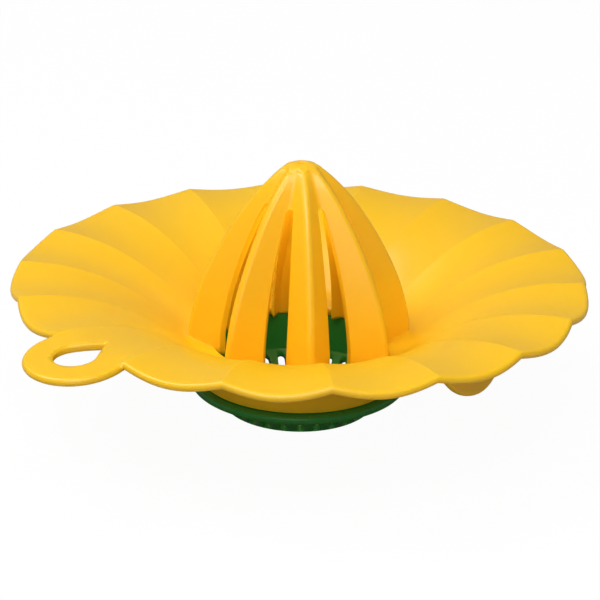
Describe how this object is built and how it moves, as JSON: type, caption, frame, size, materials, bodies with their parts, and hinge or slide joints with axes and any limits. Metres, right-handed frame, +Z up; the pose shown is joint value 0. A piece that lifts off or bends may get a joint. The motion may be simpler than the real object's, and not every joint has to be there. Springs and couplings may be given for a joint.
{
  "type": "citrus juicer with strainer",
  "caption": "Flower-shaped hand citrus juicer: scalloped dish with a slotted reamer and hanging loop, and a slotted strainer that plugs in below.",
  "frame": {"origin": "centre of the strainer's flat bottom, which is the face that the juicer stands on", "axes": "+Z up along the reamer, -X towards the hanging loop"},
  "size_m": [0.1827, 0.166, 0.0744],
  "materials": {
    "press_plastic": "semi-gloss moulded polypropylene, golden yellow, slightly translucent at thin edges",
    "strainer_plastic": "semi-gloss moulded polypropylene, mid green"
  },
  "bodies": {
    "press": {"citrus_press": "press_plastic"},
    "strainer": {"strainer_basket": "strainer_plastic"}
  },
  "joints": [
    {"name": "strainer_pull", "type": "slide", "parent": "press", "child": "strainer", "axis": [0, 0, -1], "range_m": [0, 0.025]}
  ]
}
